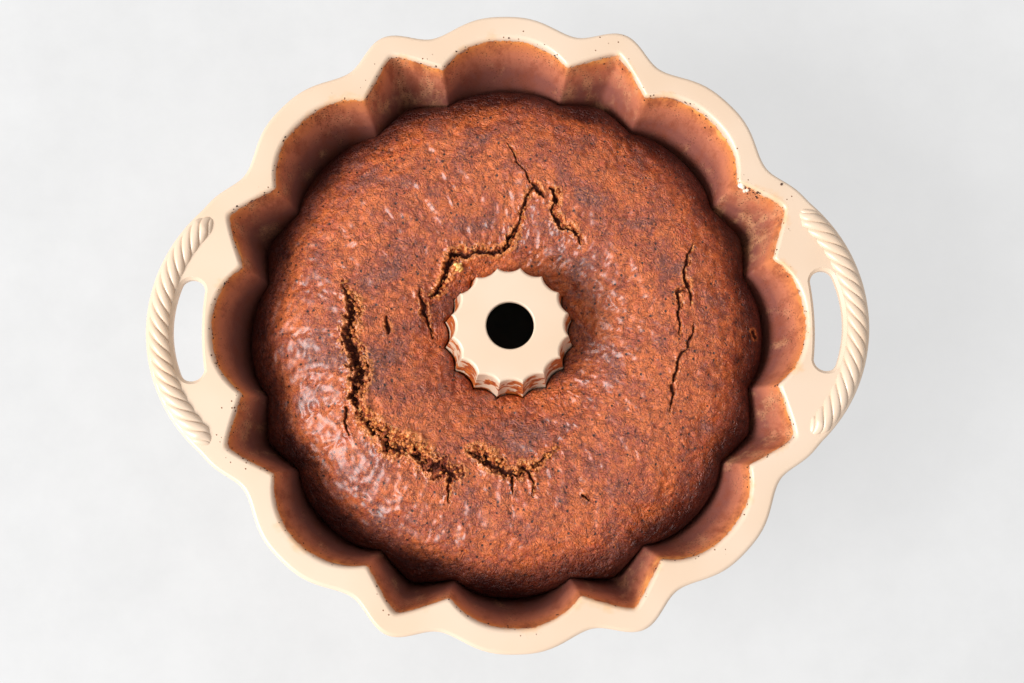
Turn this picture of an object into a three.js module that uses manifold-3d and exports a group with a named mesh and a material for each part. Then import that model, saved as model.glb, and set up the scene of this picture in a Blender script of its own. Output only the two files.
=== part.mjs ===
// Carrot ring cake in its fluted cast pan, in millimetres, +Z up.
// The pan is one casting: a fluted ring mould with eight wide round lobes and eight narrow pointed ones,
// a centre tube, a flat rim and two rope-edged handles on +X and -X. The cake is one solid that fills
// the mould up to a domed top. The origin is the centre of the pads that the pan stands on.

import * as THREE from "three";
import { mergeVertices } from "three/addons/utils/BufferGeometryUtils.js";
import Module from "manifold-3d";

const wasm = await Module();
wasm.setup();

const degrees = Math.PI / 180;
const lobePairs = 8; // one wide and one pointed lobe in each sector
const sector = 360 / lobePairs;

const pan = {
  height: 110, // rim plane above the pads
  wall: 3.2,
  edge: 1.2, // bevel where a wall turns into a flat top
  levelDepth: 12, // above this depth the flutes turn level, so that the rim stays flat
  rimRidge: 117.5, // radius of the ridges between two lobes, at the rim
  wallSlope: 0.19, // inward run of the outer wall for each mm down
  tubeTop: 25.3, // radius of the tube's ridges at its top
  tubeSlope: 0.127, // outward run of the tube for each mm down
  holeRadius: 10.2,
  crownLift: 9, // height of the ridges at the bottom of the ring
};

// How deep each lobe is cut beyond the ridges, and the ridge's angle from the wide lobe's middle, at five
// stations along the profile: rim, foot of the wall, bottom of the ring, foot of the tube, top of the tube.
const flutes = {
  wide: [9.9, 8.5, 7.0, 3.5, 2.0],
  pointed: [12.2, 9.0, 6.0, 3.2, 2.0],
  ridgeAngle: [13.4, 13.0, 12.2, 11.6, 11.25],
};

const rim = {
  thickness: 5,
  edge: 1, // bevel of the outside edges
  wideLobe: 138.1, // outside radius over a wide lobe
  pointedLobe: 139.5,
  valley: 131.7,
  valleyAngle: 13.7, // from the wide lobe's middle
};

const handle = {
  centre: 84.6, // distance of the outline's centre from the pan's axis
  radius: 70.4,
  ropeWidth: 9.7,
  ropeInset: 1, // from the rope's side to the handle's edge
  ropeRise: 2.6, // height of the rope over the rim plane
  ropeSunk: 1.2, // depth of the rope's middle line under the rim plane
  ropeRoot: 2, // from the middle line down to the rope's hidden underside
  ropeHalfTurn: 49, // degrees each side of the X axis, about the outline's centre
  strands: 5,
  lead: 29.5, // length of one full twist
};

const cake = {
  gap: 0.3, // clearance to the pan
  crestRadius: 70,
  crestDepth: 14, // below the rim plane
  outerDrop: 17, // fall from the crest to outerDropRadius
  outerDropRadius: 111.5,
  outerPower: 2.3,
  innerDrop: 12, // fall from the crest to the tube
  innerDropRadius: 27.5,
  innerPower: 2,
  swells: [
    { turns: 2, rise: 0.9, phase: 0.8 },
    { turns: 3, rise: 0.6, phase: -1.9 },
    { turns: 5, rise: 0.4, phase: 0 },
  ],
};

// How fine the facets are: the columns across a lobe, from ridge to ridge, and counts of the rest.
const acrossLobe = { wide: [-1, -0.6, -0.2, 0.2, 0.6], pointed: [-1, -0.4, 0, 0.4] };
const facets = { wallDepth: 36, tubeDepth: 40, arc: 6, ropeSteps: 38, cakeRings: 8, cakeSteps: 48 };

const mix = (a, b, t) => a + (b - a) * t;

function stationValue(values, station) {
  const i = Math.min(Math.floor(station), values.length - 2);
  return mix(values[i], values[i + 1], station - i);
}

// The ring mould's ridge line is a straight wall, an arc and a straight tube, each tangent to the next.
const wallLean = Math.atan(pan.wallSlope);
const tubeLean = Math.atan(pan.tubeSlope);
const arc = (() => {
  const slopes = pan.wallSlope + pan.tubeSlope;
  const secants = 1 / Math.cos(wallLean) + 1 / Math.cos(tubeLean);
  const width = pan.rimRidge - pan.tubeTop;
  const radius = (width - slopes * (pan.height - pan.crownLift)) / (secants - slopes);
  const z = pan.crownLift + radius;
  const r = pan.tubeTop + pan.tubeSlope * (pan.height - z) + radius / Math.cos(tubeLean);
  return { radius, z, r };
})();
const wallDepth = pan.height - (arc.z - arc.radius * Math.sin(wallLean));
const tubeDepth = pan.height - (arc.z - arc.radius * Math.sin(tubeLean));

// Rows down the wall, round the arc and up the tube. "lean" is the way that flutes and wall thickness
// are measured: 0 points away from the axis, 90 degrees down, and 180 degrees to the axis.
function mouldRows() {
  const rows = [];
  const fullLean = (depth) => Math.min(1, (depth - pan.edge) / (pan.levelDepth - pan.edge));
  for (const depth of [pan.edge, pan.levelDepth, facets.wallDepth]) {
    rows.push({
      r: pan.rimRidge - pan.wallSlope * depth,
      z: pan.height - depth,
      lean: wallLean * fullLean(depth),
      station: depth / wallDepth,
    });
  }
  const turn = Math.PI - tubeLean - wallLean;
  for (let i = 0; i <= facets.arc; i++) {
    const lean = wallLean + (turn * i) / facets.arc;
    rows.push({
      r: arc.r + arc.radius * Math.cos(lean),
      z: arc.z - arc.radius * Math.sin(lean),
      lean,
      station: 1 + (2 * i) / facets.arc,
    });
  }
  for (const depth of [facets.tubeDepth, pan.levelDepth, pan.edge]) {
    rows.push({
      r: pan.tubeTop + pan.tubeSlope * depth,
      z: pan.height - depth,
      lean: Math.PI - tubeLean * fullLean(depth),
      station: 4 - depth / tubeDepth,
    });
  }
  return rows;
}

// Columns round the axis. across runs from -1 to 1 over a lobe, from ridge to ridge.
function mouldColumns() {
  const columns = [];
  for (let pair = 0; pair < lobePairs; pair++) {
    for (const kind of ["wide", "pointed"]) {
      for (const across of acrossLobe[kind]) columns.push({ pair, kind, across });
    }
  }
  return columns;
}

function columnAngle(column, station) {
  const ridge = stationValue(flutes.ridgeAngle, station);
  const half = column.kind === "wide" ? ridge : sector / 2 - ridge;
  const middle = column.kind === "wide" ? 0 : sector / 2;
  return (column.pair * sector + middle + column.across * half) * degrees;
}

// A wide lobe is a round scoop. A pointed lobe is a tent on the wall and turns round towards the tube.
function fluteDepth(column, station) {
  const round = 1 - Math.abs(column.across) ** 2.4;
  if (column.kind === "wide") return stationValue(flutes.wide, station) * round;
  const tent = (1 - Math.abs(column.across)) ** 1.1;
  const roundness = Math.max(0, (station - 1) / 3);
  return stationValue(flutes.pointed, station) * mix(tent, round, roundness);
}

// A point of the mould surface, moved beyond it by offset: the wall's thickness, or minus a gap.
function mouldPoint(row, column, offset) {
  const out = fluteDepth(column, row.station) + offset;
  const angle = columnAngle(column, row.station);
  const r = row.r + out * Math.cos(row.lean);
  return [r * Math.cos(angle), r * Math.sin(angle), row.z - out * Math.sin(row.lean)];
}

function smoothMax(a, b, softness) {
  const h = Math.max(softness - Math.abs(a - b), 0) / softness;
  return Math.max(a, b) + (h * h * softness) / 4;
}

// Outside radius of the rim at an angle, with the two handles.
function rimOutside(angle) {
  const turn = angle / degrees;
  const folded = Math.abs(turn - sector * Math.round(turn / sector));
  const nearWide = folded < rim.valleyAngle;
  const share = nearWide
    ? (folded / rim.valleyAngle) ** 1.45
    : (sector / 2 - folded) / (sector / 2 - rim.valleyAngle);
  const peak = nearWide ? rim.wideLobe : rim.pointedLobe;
  const lobes = mix(rim.valley, peak, 0.5 + 0.5 * Math.cos(Math.PI * share));
  const side = Math.abs(Math.sin(angle)) * handle.centre;
  if (side >= handle.radius * 0.9) return lobes;
  const reach = Math.abs(Math.cos(angle)) * handle.centre + Math.sqrt(handle.radius ** 2 - side ** 2);
  return smoothMax(lobes, reach, 3);
}

// A closed surface from a loop of rings, each a list of points with the same count.
function closedLoop(rings) {
  const count = rings[0].length;
  const positions = new Float32Array(rings.flat(2));
  const indices = [];
  rings.forEach((ring, i) => {
    const next = (i + 1) % rings.length;
    for (let j = 0; j < count; j++) {
      const k = (j + 1) % count;
      const [a, b, c, d] = [i * count + j, i * count + k, next * count + k, next * count + j];
      indices.push(a, b, c, a, c, d);
    }
  });
  const geometry = new THREE.BufferGeometry();
  geometry.setAttribute("position", new THREE.BufferAttribute(positions, 3));
  geometry.setIndex(indices);
  return geometry;
}

function toSolid(geometry) {
  const bare = geometry.clone();
  bare.deleteAttribute("normal");
  bare.deleteAttribute("uv");
  const merged = mergeVertices(bare, 1e-3);
  const triVerts = new Uint32Array(merged.index.array);
  const mesh = { numProp: 3, vertProperties: merged.attributes.position.array, triVerts };
  const solid = new wasm.Manifold(new wasm.Mesh(mesh));
  if (solid.volume() > 0) return solid;
  for (let i = 0; i < triVerts.length; i += 3) {
    [triVerts[i + 1], triVerts[i + 2]] = [triVerts[i + 2], triVerts[i + 1]];
  }
  return new wasm.Manifold(new wasm.Mesh(mesh));
}

function toGeometry(solid) {
  const mesh = solid.getMesh();
  const geometry = new THREE.BufferGeometry();
  geometry.setAttribute("position", new THREE.BufferAttribute(mesh.vertProperties, 3));
  geometry.setIndex(new THREE.BufferAttribute(mesh.triVerts, 1));
  return geometry;
}

const rows = mouldRows();
const columns = mouldColumns();

// The casting's section as one loop of rings: up the hole, out over the tube's cap, down the tube, round
// the ring and up the wall, over the rim, then back under it all at the wall's thickness.
function castingRings() {
  const last = rows.length - 1;
  const ringAt = (station, place) =>
    columns.map((column) => {
      const angle = columnAngle(column, station);
      const [r, z] = place(column, angle);
      return [r * Math.cos(angle), r * Math.sin(angle), z];
    });
  const radiusAt = (row, column, offset) =>
    row.r + (fluteDepth(column, row.station) + offset) * Math.cos(row.lean);
  const mouldRing = (row, offset) => columns.map((column) => mouldPoint(row, column, offset));
  const rimEdge = (inset, z) => ringAt(0, (column, angle) => [rimOutside(angle) - inset, z]);
  const capUnder = pan.height - pan.wall;
  const rimUnder = pan.height - rim.thickness;

  const rings = [];
  rings.push(ringAt(4, () => [pan.holeRadius, capUnder]));
  rings.push(ringAt(4, () => [pan.holeRadius, pan.height]));
  rings.push(ringAt(4, (column) => [radiusAt(rows[last], column, 0) - pan.edge / 2, pan.height]));
  for (let i = last; i >= 0; i--) rings.push(mouldRing(rows[i], 0));
  rings.push(ringAt(0, (column) => [radiusAt(rows[0], column, 0) + pan.edge, pan.height]));
  rings.push(rimEdge(rim.edge, pan.height));
  rings.push(rimEdge(0, pan.height - rim.edge));
  rings.push(rimEdge(0, rimUnder + rim.edge));
  rings.push(rimEdge(rim.edge, rimUnder));
  rings.push(ringAt(0, (column) => [radiusAt(rows[0], column, pan.wall), rimUnder]));
  for (let i = 1; i < last; i++) rings.push(mouldRing(rows[i], pan.wall));
  rings.push(ringAt(4, (column) => [radiusAt(rows[last], column, pan.wall), capUnder]));
  return rings;
}

// The finger slot of the +X handle, between the wall and the rope.
function slotSolid() {
  const inner = { x: 129.6, y: 17, bulge: 132 };
  const outer = { x: 139.8, y: 18.5, bulge: 146.6 };
  const end = { nearX: 130.2, nearY: 22.5, farX: 138, farY: 23.6 };
  const outline = new THREE.Shape();
  outline.moveTo(inner.x, -inner.y);
  outline.quadraticCurveTo(inner.bulge, 0, inner.x, inner.y);
  outline.bezierCurveTo(end.nearX, end.nearY, end.farX, end.farY, outer.x, outer.y);
  outline.quadraticCurveTo(outer.bulge, 0, outer.x, -outer.y);
  outline.bezierCurveTo(end.farX, -end.farY, end.nearX, -end.nearY, inner.x, -inner.y);
  const depth = 4 * rim.thickness;
  const cutter = new THREE.ExtrudeGeometry(outline, { depth, bevelEnabled: false, curveSegments: 5 });
  cutter.translate(0, 0, pan.height - depth / 2);
  return toSolid(cutter);
}

// The rope along the +X handle's edge: five strands twisted round an arc, half sunk in the rim plane and
// tapered at both ends.
function ropeSolid() {
  const along = handle.radius - handle.ropeInset - handle.ropeWidth / 2;
  const halfArc = handle.ropeHalfTurn * degrees;
  const length = 2 * halfArc * along;
  const groove = 0.8; // radius at a groove, as a share of the radius at a strand's back
  const endLength = 6; // stretch over which each end grows to the full size
  const rings = [];
  for (let i = 0; i <= facets.ropeSteps; i++) {
    const share = i / facets.ropeSteps;
    const turn = mix(-halfArc, halfArc, share);
    const twist = (2 * Math.PI * length * share) / handle.lead;
    const fromEnd = Math.min(share, 1 - share) * length;
    const taper = Math.sqrt(Math.min(1, 0.07 + fromEnd / endLength));
    const ring = [];
    for (let k = 0; k < 2 * handle.strands; k++) {
      const size = taper * (k % 2 === 0 ? groove : 1);
      const around = (Math.PI * k) / handle.strands + twist;
      const r = along + (size * handle.ropeWidth * Math.cos(around)) / 2;
      const halfHeight = Math.sin(around) > 0 ? handle.ropeRise + handle.ropeSunk : handle.ropeRoot;
      const z = pan.height - handle.ropeSunk + size * halfHeight * Math.sin(around);
      ring.push([handle.centre + r * Math.cos(turn), r * Math.sin(turn), z]);
    }
    rings.push(ring);
  }
  return toSolid(cappedTube(rings));
}

// A tube through a list of rings, closed by a fan on each end.
function cappedTube(rings) {
  const count = rings[0].length;
  const middle = (ring) => [0, 1, 2].map((axis) => ring.reduce((sum, p) => sum + p[axis], 0) / count);
  const points = [...rings.flat(), middle(rings[0]), middle(rings[rings.length - 1])];
  const indices = [];
  for (let i = 0; i + 1 < rings.length; i++) {
    for (let j = 0; j < count; j++) {
      const k = (j + 1) % count;
      const [a, b, c, d] = [i * count + j, i * count + k, (i + 1) * count + k, (i + 1) * count + j];
      indices.push(a, b, d, b, c, d);
    }
  }
  const start = rings.length * count;
  const top = (rings.length - 1) * count;
  for (let j = 0; j < count; j++) {
    const k = (j + 1) % count;
    indices.push(start, k, j, start + 1, top + j, top + k);
  }
  const geometry = new THREE.BufferGeometry();
  geometry.setAttribute("position", new THREE.BufferAttribute(new Float32Array(points.flat()), 3));
  geometry.setIndex(indices);
  return geometry;
}

function panSolid() {
  const reach = 2 * pan.rimRidge;
  const floor = new THREE.BoxGeometry(reach, reach, pan.wall);
  floor.translate(0, 0, -pan.wall / 2);
  // Cutting at the floor leaves a flat pad under each wide lobe.
  let solid = toSolid(closedLoop(castingRings())).subtract(toSolid(floor));
  for (const half of [0, 180]) {
    solid = solid.add(ropeSolid().rotate([0, 0, half]));
    solid = solid.subtract(slotSolid().rotate([0, 0, half]));
  }
  return solid;
}

// Depth of the cake's top below the rim plane: a ring-shaped dome with a few soft swells.
function cakeTopDepth(r, angle) {
  const outward = (r - cake.crestRadius) / (cake.outerDropRadius - cake.crestRadius);
  const inward = (cake.crestRadius - r) / (cake.crestRadius - cake.innerDropRadius);
  const dome =
    r > cake.crestRadius
      ? cake.outerDrop * outward ** cake.outerPower
      : cake.innerDrop * Math.min(inward, 1.2) ** cake.innerPower;
  const swell = cake.swells.reduce((sum, s) => sum + s.rise * Math.cos(s.turns * angle - s.phase), 0);
  return cake.crestDepth + dome - swell * Math.max(0, 1 - Math.abs(outward));
}

// The cake is what the mould holds, less a small gap, under the domed top.
function cakeSolid() {
  const upward = [...rows].reverse(); // the casting's own order, so that facets match across the gap
  const filling = upward.map((row) => columns.map((column) => mouldPoint(row, column, -cake.gap)));
  const held = toSolid(closedLoop(filling));
  const innermost = pan.tubeTop - 3 * pan.wall;
  const outermost = pan.rimRidge + 3 * pan.wall;
  const ringAt = (r, height) =>
    Array.from({ length: facets.cakeSteps }, (_, j) => {
      const angle = (2 * Math.PI * j) / facets.cakeSteps;
      return [r * Math.cos(angle), r * Math.sin(angle), height(angle)];
    });
  const rings = [];
  for (let i = 0; i <= facets.cakeRings; i++) {
    const r = mix(innermost, outermost, i / facets.cakeRings);
    rings.push(ringAt(r, (angle) => pan.height - cakeTopDepth(r, angle)));
  }
  rings.push(ringAt(outermost, () => -pan.wall));
  rings.push(ringAt(innermost, () => -pan.wall));
  return held.intersect(toSolid(closedLoop(rings)));
}

const coating = new THREE.MeshStandardMaterial({ color: 0xf0d9b8, roughness: 0.45, metalness: 0.15 });
const crust = new THREE.MeshStandardMaterial({ color: 0x7a3d1c, roughness: 0.55, metalness: 0 });

const cakeInPan = new THREE.Group();
const panMesh = new THREE.Mesh(toGeometry(panSolid()), coating);
panMesh.name = "fluted_pan";
const cakeMesh = new THREE.Mesh(toGeometry(cakeSolid()), crust);
cakeMesh.name = "cake";
cakeInPan.add(panMesh, cakeMesh);

export default cakeInPan;
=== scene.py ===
# Carrot ring cake, whole, in its fluted cast pan with two rope-edged handles. The shapes are worked out
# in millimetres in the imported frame's own axes, and turned to metres as each mesh is made.
import math
import random

import bmesh
import bpy
import numpy as np
from mathutils import Matrix, Vector, kdtree, noise


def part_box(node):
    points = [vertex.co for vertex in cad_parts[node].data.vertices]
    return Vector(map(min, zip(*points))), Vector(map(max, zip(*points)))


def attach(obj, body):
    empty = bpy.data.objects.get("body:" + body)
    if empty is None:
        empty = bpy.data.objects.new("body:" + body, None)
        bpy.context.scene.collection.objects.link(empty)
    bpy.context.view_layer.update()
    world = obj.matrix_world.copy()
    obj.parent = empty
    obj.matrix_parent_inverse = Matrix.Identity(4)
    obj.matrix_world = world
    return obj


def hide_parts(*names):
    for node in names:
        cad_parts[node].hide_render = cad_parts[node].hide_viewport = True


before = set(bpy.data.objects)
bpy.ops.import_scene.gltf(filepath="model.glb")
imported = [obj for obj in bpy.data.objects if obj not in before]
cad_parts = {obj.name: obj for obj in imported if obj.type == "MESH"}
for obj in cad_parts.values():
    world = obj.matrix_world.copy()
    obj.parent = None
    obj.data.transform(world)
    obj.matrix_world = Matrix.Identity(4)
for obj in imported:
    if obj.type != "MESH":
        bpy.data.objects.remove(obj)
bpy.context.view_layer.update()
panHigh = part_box("fluted_pan")[1]
mm = 0.001

# The mould: what the pan's inside and the cake's outside share.

mould = {
    "lobePairs": 8,            # one wide and one pointed lobe in each sector
    "height": 110.0,           # rim plane above the pads
    "levelFrom": 1.2,          # flutes run level at this depth and lean fully at levelTo
    "levelTo": 12.0,
    "rimRidge": 117.5,         # radius of the ridges between two lobes, at the rim
    "wallSlope": 0.19,
    "tubeTop": 25.3,
    "tubeSlope": 0.127,
    "crownLift": 9.0,          # the ridges' height at the bottom of the ring
    # lobe depths, and where a ridge stands: at the rim, wall's foot, bottom, tube's foot and tube's top
    "wide": [9.9, 8.5, 7.0, 3.5, 2.0],
    "pointed": [12.2, 9.0, 6.0, 3.2, 2.0],
    "ridgeTurn": [13.4, 13.0, 12.2, 11.6, 11.25],
    "ridgeRound": 0.14,        # softening of the ridges, as a share of the wide lobe's depth
    "creaseRound": 0.09,       # softening of the pointed lobes' creases, as a share of their half width
}

sector = 360 / mould["lobePairs"]
wallLean = math.atan(mould["wallSlope"])
tubeLean = math.atan(mould["tubeSlope"])


def mix(a, b, t):
    return a + (b - a) * t


def smoothStep(low, high, value):
    t = np.clip((value - low) / (high - low), 0, 1)
    return t * t * (3 - 2 * t)


def smoothMax(a, b, softness):
    h = np.maximum(softness - np.abs(a - b), 0) / softness
    return np.maximum(a, b) + h * h * softness / 4


def bottomArc():               # the arc that joins the straight wall to the straight tube
    slopes = mould["wallSlope"] + mould["tubeSlope"]
    secants = 1 / math.cos(wallLean) + 1 / math.cos(tubeLean)
    width = mould["rimRidge"] - mould["tubeTop"]
    radius = (width - slopes * (mould["height"] - mould["crownLift"])) / (secants - slopes)
    z = mould["crownLift"] + radius
    r = mould["tubeTop"] + mould["tubeSlope"] * (mould["height"] - z) + radius / math.cos(tubeLean)
    return r, z, radius


arcR, arcZ, arcRadius = bottomArc()
wallDepth = mould["height"] - (arcZ - arcRadius * math.sin(wallLean))
tubeDepth = mould["height"] - (arcZ - arcRadius * math.sin(tubeLean))


def stationValue(name, station):
    return np.interp(station, range(5), mould[name])


def fluteOut(turn, station):   # how far the surface stands beyond the ridges, at a turn in degrees
    folded = np.abs(turn - sector * np.round(turn / sector))
    ridge = stationValue("ridgeTurn", station)
    wideDepth = stationValue("wide", station)
    wide = wideDepth * (1 - (folded / ridge) ** 2.4)
    crease = mould["creaseRound"]
    fromCrease = (sector / 2 - folded) / (sector / 2 - ridge)
    across = (np.hypot(fromCrease, crease) - crease) / (math.hypot(1, crease) - crease)
    tent = np.sign(1 - across) * np.abs(1 - across) ** 1.1
    roundness = np.clip((station - 1) / 3, 0, 1)
    pointed = stationValue("pointed", station) * mix(tent, 1 - across ** 2, roundness)
    return smoothMax(wide, pointed, mould["ridgeRound"] * wideDepth)


def levelShare(depth):
    return np.clip((depth - mould["levelFrom"]) / (mould["levelTo"] - mould["levelFrom"]), 0, 1)


# A row of the ridge line is (radius, height, lean, station). The lean is the way that a lobe's depth is
# measured: 0 points away from the axis, a quarter turn down.
def wallRow(depth):
    r = mould["rimRidge"] - mould["wallSlope"] * depth
    return r, mould["height"] - depth, wallLean * levelShare(depth), depth / wallDepth


def arcRow(share):
    lean = mix(wallLean, math.pi - tubeLean, share)
    return arcR + arcRadius * math.cos(lean), arcZ - arcRadius * math.sin(lean), lean, 1 + 2 * share


def tubeRow(depth):
    r = mould["tubeTop"] + mould["tubeSlope"] * depth
    return r, mould["height"] - depth, math.pi - tubeLean * levelShare(depth), 4 - depth / tubeDepth


def makeColumns(wideCount, pointedCount):      # closer together at the ridges and creases
    columns = []
    for pair in range(mould["lobePairs"]):
        for isWide, count in ((True, wideCount), (False, pointedCount)):
            t = np.linspace(-1, 1, count, endpoint=False)
            across = t - 0.07 * np.sin(2 * np.pi * t)
            middle = pair * sector + (0 if isWide else sector / 2)
            columns += [(middle, isWide, a) for a in across]
    return np.array(columns)


def columnTurns(columns, station):
    ridge = stationValue("ridgeTurn", station)
    return columns[:, 0] + columns[:, 2] * np.where(columns[:, 1] > 0.5, ridge, sector / 2 - ridge)


def ringPoints(turns, r, z):
    angle = np.radians(turns)
    return np.stack([r * np.cos(angle), r * np.sin(angle), z + 0 * angle], axis=1)


def mouldRing(columns, row, offset=0.0, inward=0.0):
    r, z, lean, station = row
    turns = columnTurns(columns, station)
    out = fluteOut(turns, station) + offset
    return ringPoints(turns, r + out * math.cos(lean) - inward, z - out * math.sin(lean))


def wallRadius(turns, depth):
    return wallRow(depth)[0] + fluteOut(turns, depth / wallDepth)


def tubeRadius(turns, depth):
    return tubeRow(depth)[0] - fluteOut(turns, 4 - depth / tubeDepth)


def makePiece(name, points, faces):
    mesh = bpy.data.meshes.new(name)
    mesh.from_pydata((np.asarray(points) * mm).tolist(), [], faces)
    mesh.validate()
    piece = bpy.data.objects.new(name, mesh)
    bpy.context.scene.collection.objects.link(piece)
    return piece


def faceOutwards(piece):
    work = bmesh.new()
    work.from_mesh(piece.data)
    bmesh.ops.recalc_face_normals(work, faces=work.faces)
    work.to_mesh(piece.data)
    work.free()


def loopFaces(ringCount, count, closed):
    i, j = np.meshgrid(np.arange(ringCount if closed else ringCount - 1), np.arange(count), indexing="ij")
    after, beside = (i + 1) % ringCount, (j + 1) % count
    quads = np.stack([i * count + j, i * count + beside, after * count + beside, after * count + j], axis=-1)
    return quads.reshape(-1, 4).tolist()


def cappedPiece(name, rings):  # rings joined into a closed solid, with a face over each end
    count = len(rings[0])
    last = (len(rings) - 1) * count
    faces = loopFaces(len(rings), count, closed=False)
    faces += [list(range(count)), list(range(last, last + count))]
    piece = makePiece(name, np.concatenate(rings), faces)
    faceOutwards(piece)
    return piece


def applyModifiers(piece):
    shown = piece.evaluated_get(bpy.context.evaluated_depsgraph_get())
    mesh = bpy.data.meshes.new_from_object(shown)
    piece.modifiers.clear()
    piece.data = mesh


def addBoolean(piece, operation, other):
    cut = piece.modifiers.new(operation.lower(), "BOOLEAN")
    cut.operation, cut.solver, cut.object = operation, "MANIFOLD", other
    applyModifiers(piece)
    bpy.data.objects.remove(other)


def meshPoints(piece):         # in millimetres
    points = np.empty(len(piece.data.vertices) * 3, np.float32)
    piece.data.vertices.foreach_get("co", points)
    return points.reshape(-1, 3).astype(float) / mm


def writeValues(piece, name, values):
    layer = piece.data.attributes.get(name) or piece.data.attributes.new(name, "FLOAT", "POINT")
    layer.data.foreach_set("value", np.asarray(values, np.float32))


def shadeSmooth(piece, sharpDegrees):
    piece.data.shade_smooth()
    piece.data.set_sharp_from_angle(angle=math.radians(sharpDegrees))


def toLinear(code):            # "#RRGGBB" in sRGB to a linear colour
    parts = [int(code[i:i + 2], 16) / 255 for i in (1, 3, 5)]
    return (*[p / 12.92 if p <= 0.04045 else ((p + 0.055) / 1.055) ** 2.4 for p in parts], 1.0)


def newMaterial(name):
    material = bpy.data.materials.new(name)
    material.use_nodes = True
    material.node_tree.nodes.clear()
    return material, material.node_tree


def addNode(tree, kind, inputs=None, take=0, stops=None, **settings):      # gives the output called take
    node = tree.nodes.new("ShaderNode" + kind)
    for name, value in settings.items():
        setattr(node, name, value)
    for socket, value in (inputs or {}).items():
        if isinstance(value, bpy.types.NodeSocket):
            tree.links.new(value, node.inputs[socket])
        else:
            node.inputs[socket].default_value = toLinear(value) if isinstance(value, str) else value
    if stops:
        while len(node.color_ramp.elements) < len(stops):
            node.color_ramp.elements.new(1.0)
        for element, (place, colour) in zip(node.color_ramp.elements, stops):
            element.position, element.color = place, toLinear(colour)
    return node.outputs[take] if len(node.outputs) else node


def perMetre(size):            # a texture scale from the size of its grain in millimetres
    return 1 / (size * mm)


def grainField(points, size, seed, octaves=2):     # smooth noise from about -1 to 1, size in millimetres
    shift = Vector((seed * 17.3, seed * 7.9, seed * 3.1))
    return np.array([noise.fractal(Vector(p) / size + shift, 1.0, 2.0, octaves) for p in points])


panShape = {
    "wideColumns": 30, "pointedColumns": 26,
    "wall": 3.2,
    "lipRound": 1.8,           # inner edge of the rim
    "tubeRound": 1.4,          # edge of the tube's cap
    "holeRadius": 10.2, "holeRound": 0.8,
    "rimThickness": 5.0, "topRound": 1.9, "underRound": 1.4, "filletUnder": 2.0,
    "wideLobe": panHigh.y / mm - 0.1,          # outside radius of the rim over a wide lobe
    "pointedLobe": 139.3, "valley": 131.7, "valleyTurn": 13.7,
    "handleCentre": 84.6, "handleReach": panHigh.x / mm - 0.1,
}


def rimReach(turns):           # outside radius of the rim, handles included
    s = panShape
    folded = np.abs(turns - sector * np.round(turns / sector))
    nearWide = folded < s["valleyTurn"]
    beyond = (sector / 2 - folded) / (sector / 2 - s["valleyTurn"])
    share = np.where(nearWide, (folded / s["valleyTurn"]) ** 1.45, beyond)
    peak = np.where(nearWide, s["wideLobe"], s["pointedLobe"])
    lobes = mix(s["valley"], peak, 0.5 + 0.5 * np.cos(np.pi * share))
    centre, radius = s["handleCentre"], s["handleReach"] - s["handleCentre"]
    side = np.abs(np.sin(np.radians(turns))) * centre
    chord = np.sqrt(np.maximum(radius ** 2 - side ** 2, 0))
    reach = np.abs(np.cos(np.radians(turns))) * centre + chord
    return np.where(side < 0.9 * radius, smoothMax(lobes, reach, 3), lobes)


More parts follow.
